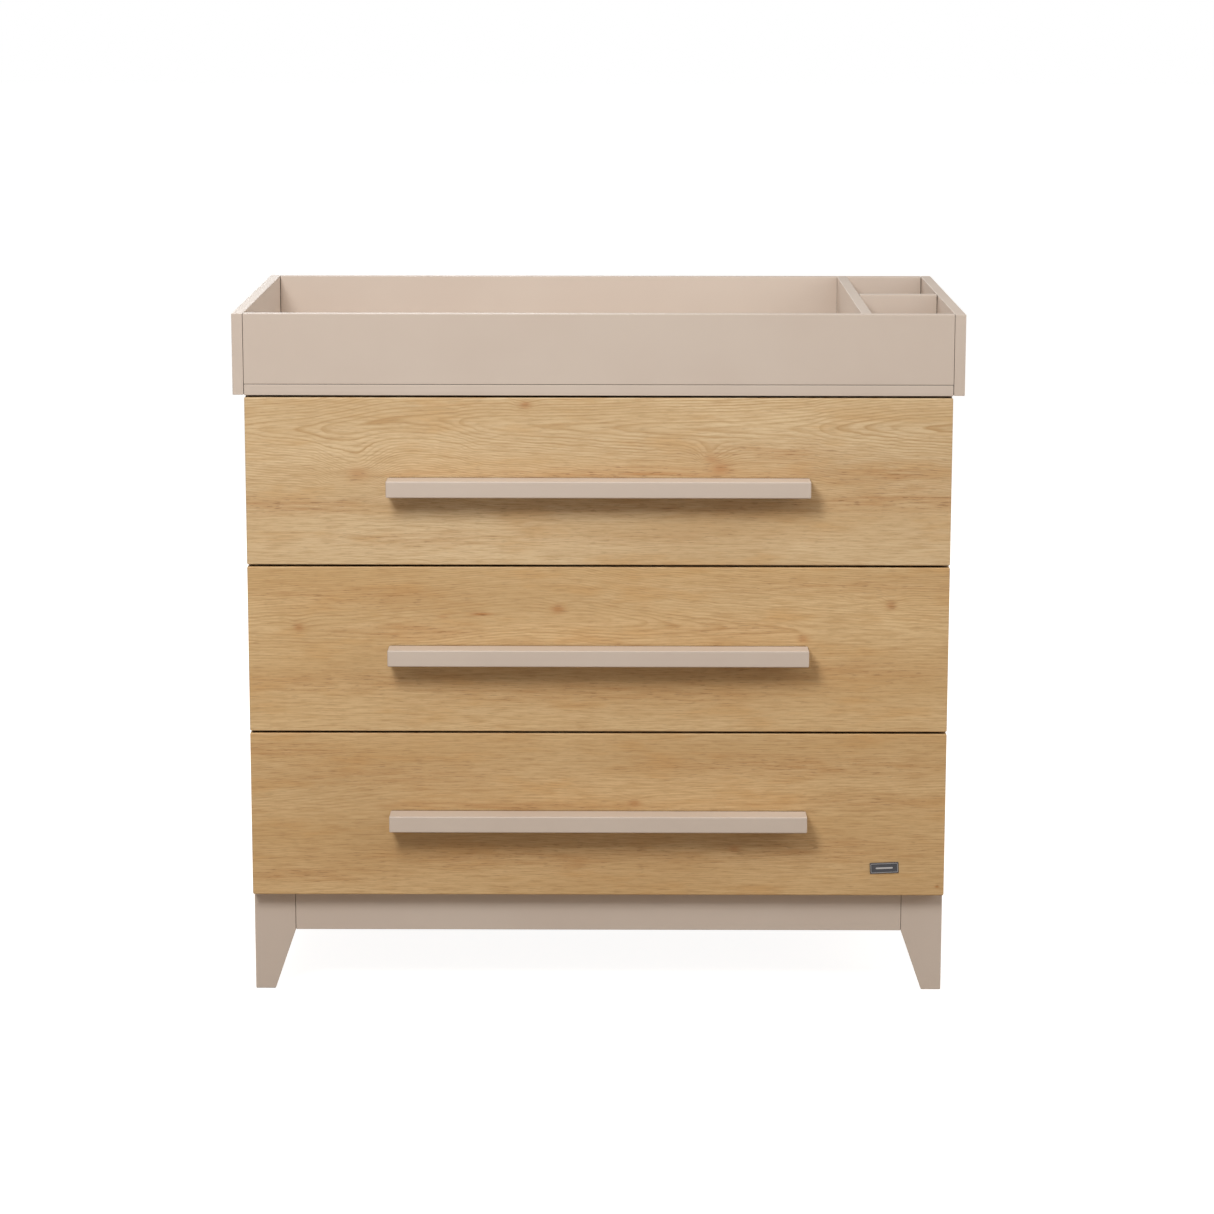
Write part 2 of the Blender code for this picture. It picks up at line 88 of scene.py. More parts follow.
class Graph:
    """Builds one material's nodes. Its methods take sockets or plain numbers, and most return a socket."""

    def __init__(self, name):
        self.material = bpy.data.materials.new(name)
        self.material.use_nodes = True
        self.tree = self.material.node_tree
        self.shader = self.tree.nodes["Principled BSDF"]

    def node(self, kind, **settings):
        made = self.tree.nodes.new(kind)
        for key, value in settings.items():
            setattr(made, key, value)
        return made

    def plug(self, socket, value):
        if isinstance(value, bpy.types.NodeSocket):
            self.tree.links.new(value, socket)
        else:
            socket.default_value = value

    def math(self, operation, a, b=None, c=None, clamp=False):
        made = self.node("ShaderNodeMath", operation=operation, use_clamp=clamp)
        for socket, value in zip(made.inputs, (a, b, c)):
            if value is not None:
                self.plug(socket, value)
        return made.outputs[0]

    def add(self, *terms):
        total = terms[0]
        for term in terms[1:]:
            total = self.math("ADD", total, term)
        return total

    def times(self, *factors):
        product = factors[0]
        for factor in factors[1:]:
            product = self.math("MULTIPLY", product, factor)
        return product

    def affine(self, value, scale, offset):
        return self.math("MULTIPLY_ADD", value, scale, offset)

    def between(self, value, low, high):
        """From low to high while the value goes from 0 to 1."""
        return self.affine(value, high - low, low)

    def vector(self, x, y, z):
        made = self.node("ShaderNodeCombineXYZ")
        for socket, value in zip(made.inputs, (x, y, z)):
            self.plug(socket, value)
        return made.outputs[0]

    def scaled(self, x, y, z, cells):
        """A place for noise with this many cells to the metre on each axis. One with none stays still."""
        axes = zip((x, y, z), cells)
        return self.vector(*(self.times(axis, count) if count else 0.0 for axis, count in axes))

    def position(self):
        """The point on its own object in metres, whole and as X, Y and Z."""
        coordinates = self.node("ShaderNodeTexCoord")
        split = self.node("ShaderNodeSeparateXYZ")
        self.tree.links.new(coordinates.outputs["Object"], split.inputs[0])
        return coordinates.outputs["Object"], *split.outputs

    def noise(self, place, scale=1.0, detail=2.0, roughness=0.5, distortion=0.0):
        made = self.node("ShaderNodeTexNoise")
        self.plug(made.inputs["Vector"], place)
        made.inputs["Scale"].default_value = scale
        made.inputs["Detail"].default_value = detail
        made.inputs["Roughness"].default_value = roughness
        made.inputs["Distortion"].default_value = distortion
        return made.outputs["Fac"]

    def rise(self, value, low, high):
        """0 up to low, 1 from high on, and a soft step between them."""
        return self.ramp(value, ((low, 0.0), (high, 1.0)))

    def ramp(self, value, stops):
        """A grey value from (position, brightness) stops."""
        made = self.node("ShaderNodeValToRGB")
        made.color_ramp.interpolation = "EASE"
        elements = made.color_ramp.elements
        while len(elements) < len(stops):
            elements.new(1.0)
        for element, (position, level) in zip(elements, stops):
            element.position = position
            element.color = (level, level, level, 1.0)
        self.plug(made.inputs[0], value)
        return made.outputs[0]

    def curve(self, value, points, low, high):
        """A smooth curve through points (x, y), for x from low to high."""
        made = self.node("ShaderNodeFloatCurve")
        top = max(y for _, y in points) or 1.0
        line = made.mapping.curves[0]
        scaled = [((x - low) / (high - low), y / top) for x, y in points]
        while len(line.points) < len(scaled):
            line.points.new(0.5, 0.5)
        for point, place in zip(line.points, scaled):
            point.location = place
            point.handle_type = "AUTO_CLAMPED"
        made.mapping.update()
        across = self.math("DIVIDE", self.math("SUBTRACT", value, low), high - low)
        self.plug(made.inputs["Value"], across)
        return self.times(made.outputs[0], top)

    def mix(self, factor, first, second):
        made = self.node("ShaderNodeMix", data_type="RGBA")
        self.plug(made.inputs["Factor"], factor)
        self.plug(made.inputs["A"], first)
        self.plug(made.inputs["B"], second)
        return next(s for s in made.outputs if s.type == "RGBA")

    def painted_gap_shade(self, base, reach, dark):
        """The base colour with painted shade: darkened where another surface is closer than reach, as in a
        seam or a gap between parts.
        """
        made = self.node("ShaderNodeAmbientOcclusion", samples=GAP_SHADE_SAMPLES)
        made.inputs["Distance"].default_value = reach
        return self.mix(self.ramp(made.outputs["AO"], GAP_SHADE_PROFILE), base, dark)

    def bump(self, height, distance, strength):
        made = self.node("ShaderNodeBump")
        made.inputs["Strength"].default_value = strength
        made.inputs["Distance"].default_value = distance
        self.plug(made.inputs["Height"], height)
        self.tree.links.new(made.outputs[0], self.shader.inputs["Normal"])

    def finish(self, base, roughness, metallic=0.0, specular=0.5):
        self.plug(self.shader.inputs["Base Color"], base)
        self.plug(self.shader.inputs["Roughness"], roughness)
        self.shader.inputs["Metallic"].default_value = metallic
        self.shader.inputs["Specular IOR Level"].default_value = specular
        return self.material


# ---------------------------------------------------------------- oak

FRONT_HALF_WIDTH = 0.4845
RING_NEAR = 0.0068  # between growth rings at the heart line
RING_FAR = 0.0030  # and far from it
RING_FADE = 0.030  # how far from the heart line they draw together
TIP_RADIUS = 0.0065  # of the arch that a ring makes across the heart line
CURVE_LIFT = 0.2  # a curve node holds no negative values, so the heart line is lifted by this
KNOT_REACH = (2.4, 2.6)  # a knot pulls the grain over this many of its half lengths and half heights
RING_PROFILE = ((0.0, 0.0), (0.18, 0.12), (0.46, 0.72), (0.56, 1.0), (0.62, 0.60), (0.72, 0.06), (1.0, 0.0))
RING_STRENGTH = (0.45, 1.05)  # of the faintest and the boldest ring
PATCH_STRENGTH = (0.20, 1.70)  # of rings in the faintest and the boldest patch
LINES_BLEND = 0.02  # half the height over which the ring strength changes

# Layers of noise: (seed shift, cells to the metre across, cells to the metre up, detail, roughness)
ROLL = (1.0, 4.0, 12.0, 2.0, 0.5)
SHAKE = (2.0, 34.0, 60.0, 2.0, 0.5)
PATCH = (11.0, 5.0, 20.0, 2.0, 0.5)
CLOUD = (23.0, 2.2, 13.0, 3.0, 0.5)
GREY = (31.0, 1.4, 8.0, 2.0, 0.5)
BLOTCH = (37.0, 7.0, 30.0, 3.0, 0.6)
STREAK = (19.0, 13.0, 215.0, 4.0, 0.66)
FIBRE = (17.0, 26.0, 400.0, 3.0, 0.65)
PORE = (29.0, 58.0, 560.0, 2.0, 0.5)
ROLL_HEIGHT = 0.010  # how far the roll bends the grain, in all
SHAKE_HEIGHT = 0.0034
SHAKE_LENGTH = 0.020

# Where each layer starts to show and where it shows in full
CLOUD_RISE = (0.28, 0.72)
GREY_RISE = (0.45, 0.75)
BLOTCH_RISE = (0.50, 0.70)
STREAK_RISE = (0.44, 0.72)
FIBRE_RISE = (0.42, 0.68)
PORE_RISE = (0.56, 0.68)
RAGGED = ((0.0, 0.0), (0.36, 0.12), (0.50, 0.55), (0.66, 1.0), (1.0, 1.0))  # streaks break up the dark bands
KNOT_STREAKS = (0.4, 1.6)  # and the knots

# Display colours of the print, and the share of each. The last, with its reach, is painted shade in the gaps
# and seams, not a print colour
WOOD_PALE = (222, 192, 151)
WOOD_HONEY = (207, 173, 129)
WOOD_GREY, GREY_SHARE = (204, 176, 138), 0.45
WOOD_BLOTCH, BLOTCH_SHARE = (206, 163, 112), 0.60
WOOD_STREAK, STREAK_SHARE = (190, 150, 104), 0.40
WOOD_LINE, LINE_SHARE = (182, 140, 93), 0.85
WOOD_BAND, BAND_SHARE = (183, 134, 87), 0.95
WOOD_KNOT = (181, 125, 78)
WOOD_FIBRE, FIBRE_SHARE = (180, 140, 96), 0.50
WOOD_PORE, PORE_SHARES = (122, 80, 46), (0.15, 0.77)  # on clear wood, and in the bands and knots
# painted shade for the gaps between the drawers and where other parts come near the front
WOOD_GAP_SHADE, WOOD_GAP_SHADE_REACH = (78, 50, 27), 0.0046

FIBRE_RELIEF = -0.35
PORE_RELIEF = -0.5
LINE_RELIEF = -0.25
WOOD_RELIEF_HEIGHT = 0.00012
WOOD_RELIEF_STRENGTH = 0.6
WOOD_ROUGHNESS = (0.50, 0.60)  # of the foil and of a pore
WOOD_GLOSS = 0.35


class Oak:
    """The grain of one drawer front. Places are metres from the middle of its face, x right and z up."""

    def __init__(self, seed, arches, heart, lines, knots, bands, tone_and_painted_light):
        self.seed = seed
        self.arches = arches  # (x, ring number) where each ring crosses the heart line, from left to right
        self.heart = heart  # (x, z) along the heart line
        self.lines = lines  # how dark the rings are above and below (z of the change, above, below)
        self.knots = knots  # (x, z, half length, half height, how far it pulls the grain down, darkness)
        self.bands = bands  # (x, z, half length, half height, darkness)
        self.tone_and_painted_light = tone_and_painted_light  # red, green and blue of the whole front against the palest one; partly the print's own colour and partly painted light, made paler at the top drawer and darker and warmer at the bottom one as the light falls off

    def stain(self, display):
        return tuple(c * t for c, t in zip(colour(*display), (*self.tone_and_painted_light, 1.0)))


def blob(g, x, z, centre_x, centre_z, half_length, half_height):
    """1 at the centre, falling off as a bell over these half lengths."""
    across = g.math("DIVIDE", g.math("SUBTRACT", x, centre_x), half_length)
    up = g.math("DIVIDE", g.math("SUBTRACT", z, centre_z), half_height)
    square = g.math("ADD", g.math("MULTIPLY", across, across), g.math("MULTIPLY", up, up))
    return g.math("EXPONENT", g.math("MULTIPLY", square, -1.0))


def layer(g, grain, x, z, shift, across, up, detail, roughness):
    place = g.vector(g.times(x, across), g.times(z, up), grain.seed + shift)
    return g.noise(place, detail=detail, roughness=roughness)


def ring_number(g, grain, x, z):
    """The growth ring that a point lies in: the whole part is the ring, the fraction the place in it."""
    low, high = -FRONT_HALF_WIDTH, FRONT_HALF_WIDTH
    roll = layer(g, grain, x, z, *ROLL)
    shake = layer(g, grain, x, z, *SHAKE)
    rolled = g.between(roll, -ROLL_HEIGHT / 2, ROLL_HEIGHT / 2)
    shaken = g.between(shake, -SHAKE_HEIGHT / 2, SHAKE_HEIGHT / 2)
    z = g.add(z, rolled, shaken)
    x = g.math("ADD", x, g.between(shake, -SHAKE_LENGTH / 2, SHAKE_LENGTH / 2))
    for knot_x, knot_z, length, height, pull, _ in grain.knots:
        reach = blob(g, x, z, knot_x, knot_z + height, length * KNOT_REACH[0], height * KNOT_REACH[1])
        z = g.affine(reach, pull, z)
    depth = g.curve(x, grain.arches, low, high)
    heart = g.curve(x, [(px, pz + CURVE_LIFT) for px, pz in grain.heart], low, high)
    off = g.math("SUBTRACT", z, g.math("SUBTRACT", heart, CURVE_LIFT))
    away = g.math("SQRT", g.affine(off, off, TIP_RADIUS**2))
    draw = RING_FADE * (1 / RING_FAR - 1 / RING_NEAR)
    bunch = g.math("EXPONENT", g.math("DIVIDE", away, -RING_FADE))
    rings = g.add(g.math("DIVIDE", away, RING_FAR), g.affine(bunch, draw, -draw))
    return g.add(depth, rings)


def ring_lines(g, grain, x, z):
    """How dark the late wood of the rings is at a point."""
    number = ring_number(g, grain, x, z)
    line = g.ramp(g.math("FRACT", number), RING_PROFILE)
    pick = g.node("ShaderNodeTexWhiteNoise", noise_dimensions="1D")
    g.plug(pick.inputs["W"], g.math("ADD", g.math("FLOOR", number), grain.seed))
    patch = layer(g, grain, x, z, *PATCH)
    change, above, below = grain.lines
    side = g.node("ShaderNodeMapRange", interpolation_type="SMOOTHSTEP")
    limits = {"From Min": change - LINES_BLEND, "From Max": change + LINES_BLEND}
    for name, value in {**limits, "To Min": below, "To Max": above}.items():
        side.inputs[name].default_value = value
    g.plug(side.inputs["Value"], z)
    ring = g.between(pick.outputs["Value"], *RING_STRENGTH)
    return g.times(line, ring, g.between(patch, *PATCH_STRENGTH), side.outputs[0])


def dark_bands(g, grain, x, z, streak):
    band = 0.0
    for band_x, band_z, length, tall, dark in grain.bands:
        band = g.affine(blob(g, x, z, band_x, band_z, length, tall), dark, band)
    return g.math("MINIMUM", g.times(band, g.ramp(streak, RAGGED)), 1.0)


def dark_knots(g, grain, x, z, streak):
    knot = 0.0
    for knot_x, knot_z, length, tall, _, dark in grain.knots:
        knot = g.affine(blob(g, x, z, knot_x, knot_z, length, tall), dark, knot)
    return g.math("MINIMUM", g.times(knot, g.between(streak, *KNOT_STREAKS)), 1.0)


def oak_material(name, grain, centre):
    g = Graph(name)
    _, x, _, height = g.position()
    z = g.math("SUBTRACT", height, centre)
    line = ring_lines(g, grain, x, z)
    cloud, grey, blotch, streak, fibre, pore = (
        layer(g, grain, x, z, *kind) for kind in (CLOUD, GREY, BLOTCH, STREAK, FIBRE, PORE)
    )
    pore = g.rise(pore, *PORE_RISE)
    band = dark_bands(g, grain, x, z, streak)
    knot = dark_knots(g, grain, x, z, streak)

    stain = grain.stain
    base = g.mix(g.rise(cloud, *CLOUD_RISE), stain(WOOD_PALE), stain(WOOD_HONEY))
    base = g.mix(g.times(g.rise(grey, *GREY_RISE), GREY_SHARE), base, stain(WOOD_GREY))
    base = g.mix(g.times(g.rise(blotch, *BLOTCH_RISE), BLOTCH_SHARE), base, stain(WOOD_BLOTCH))
    base = g.mix(g.times(g.rise(streak, *STREAK_RISE), STREAK_SHARE), base, stain(WOOD_STREAK))
    base = g.mix(g.math("MINIMUM", g.times(line, LINE_SHARE), 1.0), base, stain(WOOD_LINE))
    base = g.mix(g.times(band, BAND_SHARE), base, stain(WOOD_BAND))
    base = g.mix(knot, base, stain(WOOD_KNOT))
    base = g.mix(g.times(g.rise(fibre, *FIBRE_RISE), FIBRE_SHARE), base, stain(WOOD_FIBRE))
    dark = g.math("MINIMUM", g.math("ADD", band, knot), 1.0)
    base = g.mix(g.times(pore, g.between(dark, *PORE_SHARES)), base, stain(WOOD_PORE))
    # painted shade where another surface is near, darkest in the gaps between the drawers
    base = g.painted_gap_shade(base, WOOD_GAP_SHADE_REACH, colour(*WOOD_GAP_SHADE))

    relief = g.add(g.times(fibre, FIBRE_RELIEF), g.times(pore, PORE_RELIEF), g.times(line, LINE_RELIEF))
    g.bump(relief, WOOD_RELIEF_HEIGHT, WOOD_RELIEF_STRENGTH)
    return g.finish(base, g.between(pore, *WOOD_ROUGHNESS), specular=WOOD_GLOSS)


# Each front's colour factors are partly painted light: the top drawer is made paler and whiter and the bottom
# one darker and warmer, following the light's fall-off down the stack
GRAINS = {
    1: Oak(
        seed=2.0,
        arches=(
            (-0.4845, 16.0),
            (-0.440, 15.0),
            (-0.392, 14.0),
            (-0.367, 13.0),
            (-0.248, 12.0),
            (-0.199, 11.0),
            (-0.179, 10.0),
            (-0.143, 9.0),
            (-0.017, 8.0),
            (0.060, 7.0),
            (0.217, 6.0),
            (0.290, 5.0),
            (0.310, 4.0),
            (0.345, 3.0),
            (0.383, 2.0),
            (0.420, 1.0),
            (0.4845, 0.0),
        ),
        heart=(
            (-0.4845, 0.072),
            (-0.38, 0.073),
            (-0.26, 0.086),
            (-0.14, 0.080),
            (0.06, 0.074),
            (0.4845, 0.075),
        ),
        lines=(-0.020, 1.0, 0.30),
        knots=(
            (-0.330, 0.010, 0.016, 0.012, 0.022, 0.42),
            (-0.100, 0.106, 0.008, 0.005, 0.006, 0.75),
            (0.154, 0.033, 0.009, 0.006, 0.016, 0.50),
            (0.167, 0.019, 0.013, 0.009, 0.004, 0.65),
        ),
        bands=(
            (-0.430, -0.034, 0.100, 0.011, 1.00),
            (-0.280, -0.082, 0.120, 0.010, 0.45),
            (-0.020, 0.010, 0.300, 0.006, 0.75),
            (0.080, 0.014, 0.110, 0.010, 0.60),
            (0.240, 0.040, 0.110, 0.012, 0.60),
            (0.400, 0.010, 0.110, 0.018, 0.75),
            (0.420, -0.024, 0.120, 0.012, 0.95),
            (0.100, -0.036, 0.400, 0.012, 0.60),
            (0.080, -0.075, 0.300, 0.012, 0.35),
        ),
        tone_and_painted_light=(1.05, 1.11, 1.14),
    ),
    2: Oak(
        seed=31.0,
        arches=(
            (-0.4845, 3.0),
            (-0.36, 2.0),
            (-0.20, 1.0),
            (-0.05, 1.0),
            (0.043, 2.0),
            (0.084, 3.0),
            (0.140, 4.0),
            (0.220, 5.0),
            (0.34, 6.0),
            (0.4845, 7.0),
        ),
        heart=(
            (-0.4845, 0.028),
            (-0.25, 0.034),
            (-0.08, 0.048),
            (0.05, 0.036),
            (0.18, 0.030),
            (0.4845, 0.022),
        ),
        lines=(-0.010, 0.80, 0.28),
        knots=(
            (-0.414, 0.031, 0.007, 0.006, 0.004, 0.60),
            (-0.056, 0.057, 0.010, 0.006, 0.006, 0.80),
            (-0.162, 0.050, 0.016, 0.0022, 0.0, 0.95),
            (-0.215, 0.046, 0.009, 0.002, 0.0, 0.55),
            (0.283, 0.016, 0.008, 0.006, 0.004, 0.65),
            (0.404, 0.063, 0.008, 0.006, 0.006, 0.65),
        ),
        bands=(
            (-0.260, 0.026, 0.090, 0.010, 0.75),
            (-0.330, 0.075, 0.140, 0.016, 0.55),
            (-0.360, -0.045, 0.150, 0.014, 0.60),
            (0.020, -0.060, 0.260, 0.018, 0.65),
            (0.320, -0.030, 0.180, 0.018, 0.60),
            (0.350, 0.090, 0.160, 0.012, 0.50),
            (0.180, 0.030, 0.080, 0.014, 0.45),
            (0.020, 0.004, 0.200, 0.006, 0.60),
        ),
        tone_and_painted_light=(1.03, 1.025, 0.94),
    ),
    3: Oak(
        seed=67.0,
        arches=((-0.4845, 4.0), (-0.30, 3.0), (-0.06, 2.0), (0.16, 1.0), (0.32, 0.6), (0.4845, 0.0)),
        heart=((-0.4845, -0.012), (-0.20, 0.012), (0.10, 0.000), (0.4845, 0.012)),
        lines=(0.0, 0.42, 0.36),
        knots=(
            (0.051, 0.017, 0.009, 0.005, 0.005, 0.60),
            (0.191, -0.049, 0.008, 0.005, 0.004, 0.55),
            (0.475, -0.103, 0.003, 0.002, 0.0, 0.95),
        ),
        bands=(
            (-0.440, 0.092, 0.090, 0.009, 0.80),
            (-0.300, 0.058, 0.160, 0.020, 0.45),
            (-0.120, 0.012, 0.180, 0.006, 0.70),
            (-0.100, -0.060, 0.260, 0.018, 0.60),
            (0.280, 0.070, 0.200, 0.016, 0.65),
            (-0.420, -0.088, 0.100, 0.010, 0.75),
            (0.300, -0.050, 0.170, 0.018, 0.60),
            (0.380, 0.020, 0.120, 0.012, 0.55),
        ),
        tone_and_painted_light=(1.0, 0.97, 0.86),
    ),
}


# ---------------------------------------------------------------- other materials


def paint_material():
    """Satin lacquer: even in colour, with a faint orange peel and slow changes in gloss, and painted shade in
    its seams and where parts meet.
    """
    # the last colour is painted shade for seams and the gaps between parts, and the reach below is how near
    # another surface must be
    deep, light, fleck, gap_shade = (206, 190, 176), (209, 194, 180), (198, 182, 167), (92, 78, 66)
    fleck_share, peel_share, gap_shade_reach = 0.10, 0.8, 0.004
    relief_height, relief_strength = 0.00006, 0.5
    g = Graph("satin_paint_look")
    place, *_ = g.position()
    cloud = g.noise(place, scale=7.0, detail=3.0)
    speck = g.noise(place, scale=900.0, detail=2.0)
    peel = g.noise(place, scale=420.0, detail=2.0)
    base = g.mix(g.rise(cloud, 0.25, 0.75), colour(*deep), colour(*light))
    base = g.mix(g.times(speck, fleck_share), base, colour(*fleck))
    # painted shade where another surface is near, as in seams and gaps
    base = g.painted_gap_shade(base, gap_shade_reach, colour(*gap_shade))
    relief = g.add(g.times(peel, peel_share), g.times(speck, 1 - peel_share))
    g.bump(relief, relief_height, relief_strength)
    return g.finish(base, g.between(cloud, 0.40, 0.50), specular=0.45)


def box_material():
    """Pale foil with a fine linen print, as inside such drawers."""
    shade, light = (219, 213, 203), (226, 221, 212)
    thread, run = 1500.0, 70.0  # cells to the metre across a thread and along it
    relief_height, relief_strength = 0.00004, 0.5
    g = Graph("drawer_box_look")
    _, *axes = g.position()
    warp = g.noise(g.scaled(*axes, (run, run, thread)), detail=2.0)
    weft = g.noise(g.scaled(*axes, (thread, thread, run)), detail=2.0)
    cloth = g.times(g.add(warp, weft), 0.5)
    base = g.mix(g.rise(cloth, 0.35, 0.65), colour(*shade), colour(*light))
    g.bump(cloth, relief_height, relief_strength)
    return g.finish(base, g.between(cloth, 0.46, 0.60), specular=0.4)


def hardboard_material():
    """Thin lacquered fibreboard with a fine flecked face."""
    shade, light, dark = (203, 190, 176), (208, 196, 182), (184, 169, 152)
    dark_share, fleck_relief = 0.30, 0.6
    relief_height, relief_strength = 0.00006, 0.5
    g = Graph("hardboard_look")
    place, *_ = g.position()
    cloud = g.noise(place, scale=5.0, detail=2.0)
    fleck = g.noise(place, scale=240.0, detail=4.0, roughness=0.7, distortion=0.5)
    fibre = g.noise(place, scale=700.0, detail=3.0, roughness=0.7)
    base = g.mix(cloud, colour(*shade), colour(*light))
    base = g.mix(g.times(g.rise(fleck, 0.52, 0.72), dark_share), base, colour(*dark))
    g.bump(g.add(g.times(fleck, fleck_relief), fibre), relief_height, relief_strength)
    return g.finish(base, g.between(fleck, 0.56, 0.70), specular=0.3)


def steel_material():
    """Zinc-plated steel with drawing lines along Y and a faint spangle."""
    light, dark = (196, 198, 200), (170, 172, 176)
    drawn_share, spangle_share = 0.6, 0.5
    relief_height, relief_strength = 0.00002, 0.4
    g = Graph("zinc_steel_look")
    place, *axes = g.position()
    drawn = g.noise(g.scaled(*axes, (2400.0, 14.0, 2400.0)), detail=3.0)
    spangle = g.node("ShaderNodeTexVoronoi")
    spangle.inputs["Scale"].default_value = 260.0
    g.plug(spangle.inputs["Vector"], place)
    patch = g.times(spangle.outputs["Distance"], spangle_share)
    dull = g.math("MINIMUM", g.add(g.times(drawn, drawn_share), patch), 1.0)
    base = g.mix(dull, colour(*light), colour(*dark))
    g.bump(drawn, relief_height, relief_strength)
    return g.finish(base, g.between(drawn, 0.26, 0.46), metallic=0.65)


def silicone_material():
    """Clear soft dots, slightly cloudy."""
    shade, light = (212, 212, 208), (226, 226, 223)
    relief_height, relief_strength = 0.00002, 0.4
    g = Graph("silicone_look")
    place, *_ = g.position()
    haze = g.noise(place, scale=600.0, detail=2.0)
    g.bump(haze, relief_height, relief_strength)
    g.shader.inputs["Transmission Weight"].default_value = 0.25
    base = g.mix(haze, colour(*shade), colour(*light))
    return g.finish(base, g.between(haze, 0.20, 0.35))


def strip_material():
    """Extruded plastic in a shade near the hardboard's, with fine drawing lines."""
    shade, light = (206, 195, 182), (214, 204, 192)
    relief_height, relief_strength = 0.00002, 0.4
    g = Graph("strip_look")
    _, *axes = g.position()
    drawn = g.noise(g.scaled(*axes, (3000.0, 0.0, 6.0)), detail=2.0)
    g.bump(drawn, relief_height, relief_strength)
    base = g.mix(drawn, colour(*shade), colour(*light))
    return g.finish(base, g.between(drawn, 0.36, 0.48), specular=0.45)


def relief_material():
    """The badge's bright raised lines, finely brushed."""
    shade, light = (200, 200, 202), (222, 222, 224)
    g = Graph("badge_relief_look")
    _, *axes = g.position()
    brushed = g.noise(g.scaled(*axes, (120.0, 120.0, 4000.0)), detail=2.0)
    base = g.mix(brushed, colour(*shade), colour(*light))
    return g.finish(base, g.between(brushed, 0.30, 0.50), metallic=0.4)


def badge_material():
    """A plain dark plate with fine brushed lines."""
    shade, light = (70, 71, 76), (88, 89, 95)
    relief_height, relief_strength = 0.00003, 0.5
    g = Graph("badge_look")
    _, *axes = g.position()
    brushed = g.noise(g.scaled(*axes, (90.0, 90.0, 2600.0)), detail=3.0)
    g.bump(brushed, relief_height, relief_strength)
    base = g.mix(g.rise(brushed, 0.3, 0.7), colour(*shade), colour(*light))
    return g.finish(base, g.between(brushed, 0.32, 0.52))


def floor_material():
    """A pale studio floor: it looks white of itself, and throws a little warm light back up."""
    glow = 0.93  # how bright it looks of itself, where white is 1
    thrown = (0.45, 0.385, 0.325, 1.0)
    clouded = (183, 171, 159)
    g = Graph("floor_look")
    place, *_ = g.position()
    cloud = g.noise(place, scale=1.5, detail=3.0)
    seen = g.node("ShaderNodeLightPath").outputs["Is Camera Ray"]
    g.shader.inputs["Emission Color"].default_value = WHITE
    g.plug(g.shader.inputs["Emission Strength"], g.times(seen, glow))
    return g.finish(g.mix(cloud, thrown, colour(*clouded)), 0.85, specular=0.1)


# ---------------------------------------------------------------- CAD nodes


WELD_DISTANCE = 0.00001
NODE_EDGE_ANGLE = math.radians(50)  # sharper edges than this stay sharp
PIECE_EDGE_ANGLE = math.radians(38)


def smooth_corners(obj):
    """Keeps the flat faces flat and lets light run round the rounded edges."""
    for polygon in obj.data.polygons:
        polygon.use_smooth = True
    weld = obj.modifiers.new("weld", "WELD")
    weld.merge_threshold = WELD_DISTANCE
    split = obj.modifiers.new("split", "EDGE_SPLIT")
    split.split_angle = NODE_EDGE_ANGLE
    normals = obj.modifiers.new("normals", "WEIGHTED_NORMAL")
    normals.mode = "FACE_AREA"
    normals.weight = 100
    normals.keep_sharp = True


def dress(obj, material):
    obj.data.materials.clear()
    obj.data.materials.append(material)


def dress_nodes():
    looks = {
        "paint": paint_material(),
        "drawer_box": box_material(),
        "hardboard": hardboard_material(),
        "steel": steel_material(),
        "badge": badge_material(),
    }
    slots = {row["node"]: row["material_slot"] for row in frame["record"]["subparts"]}
    oaks = {}
    for number in DRAWERS:
        low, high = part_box(f"drawer_{number}_front")
        oaks[number] = oak_material(f"oak_look_{number}", GRAINS[number], (low.z + high.z) / 2)
    for name, obj in NODES.items():
        slot = slots[name]
        if slot == "oak":
            dress(obj, oaks[int(name.split("_")[1])])
        else:
            dress(obj, looks[slot])
        if not name.startswith("slide_"):
            smooth_corners(obj)
    return looks


# ---------------------------------------------------------------- small fittings

SCREW_SIDES = 24
PAN_HEAD = ((0.0, 0.0), (0.0040, 0.0), (0.0041, 0.0003), (0.0037, 0.0010), (0.0026, 0.0015), (0.0, 0.0017))
CUP_WASHER = (
    (0.0043, 0.0),
    (0.0068, 0.0),
    (0.0066, 0.0004),
    (0.0052, 0.0010),
    (0.0047, 0.0010),
    (0.0043, 0.0),
)
CAM_DISC = ((0.0, 0.0), (0.0075, 0.0), (0.0075, 0.0003), (0.0071, 0.0006), (0.0030, 0.0006), (0.0, 0.0006))
BUMPER = ((0.0, 0.0), (0.0042, 0.0), (0.0042, 0.0005), (0.0034, 0.0011), (0.0018, 0.0014), (0.0, 0.0014))
SCREW_RECESS = (0.0042, 0.0009, 0.0010)  # length, width and depth of the cross
CAM_RECESS = (0.0070, 0.0012, 0.0004)
RECESS_TAPER = 0.55  # how much narrower the cross is at its bottom
PLAY = 0.0002  # between a fitting and the face that it sits on
SAME_PLACE = 0.000002  # points closer than this are one

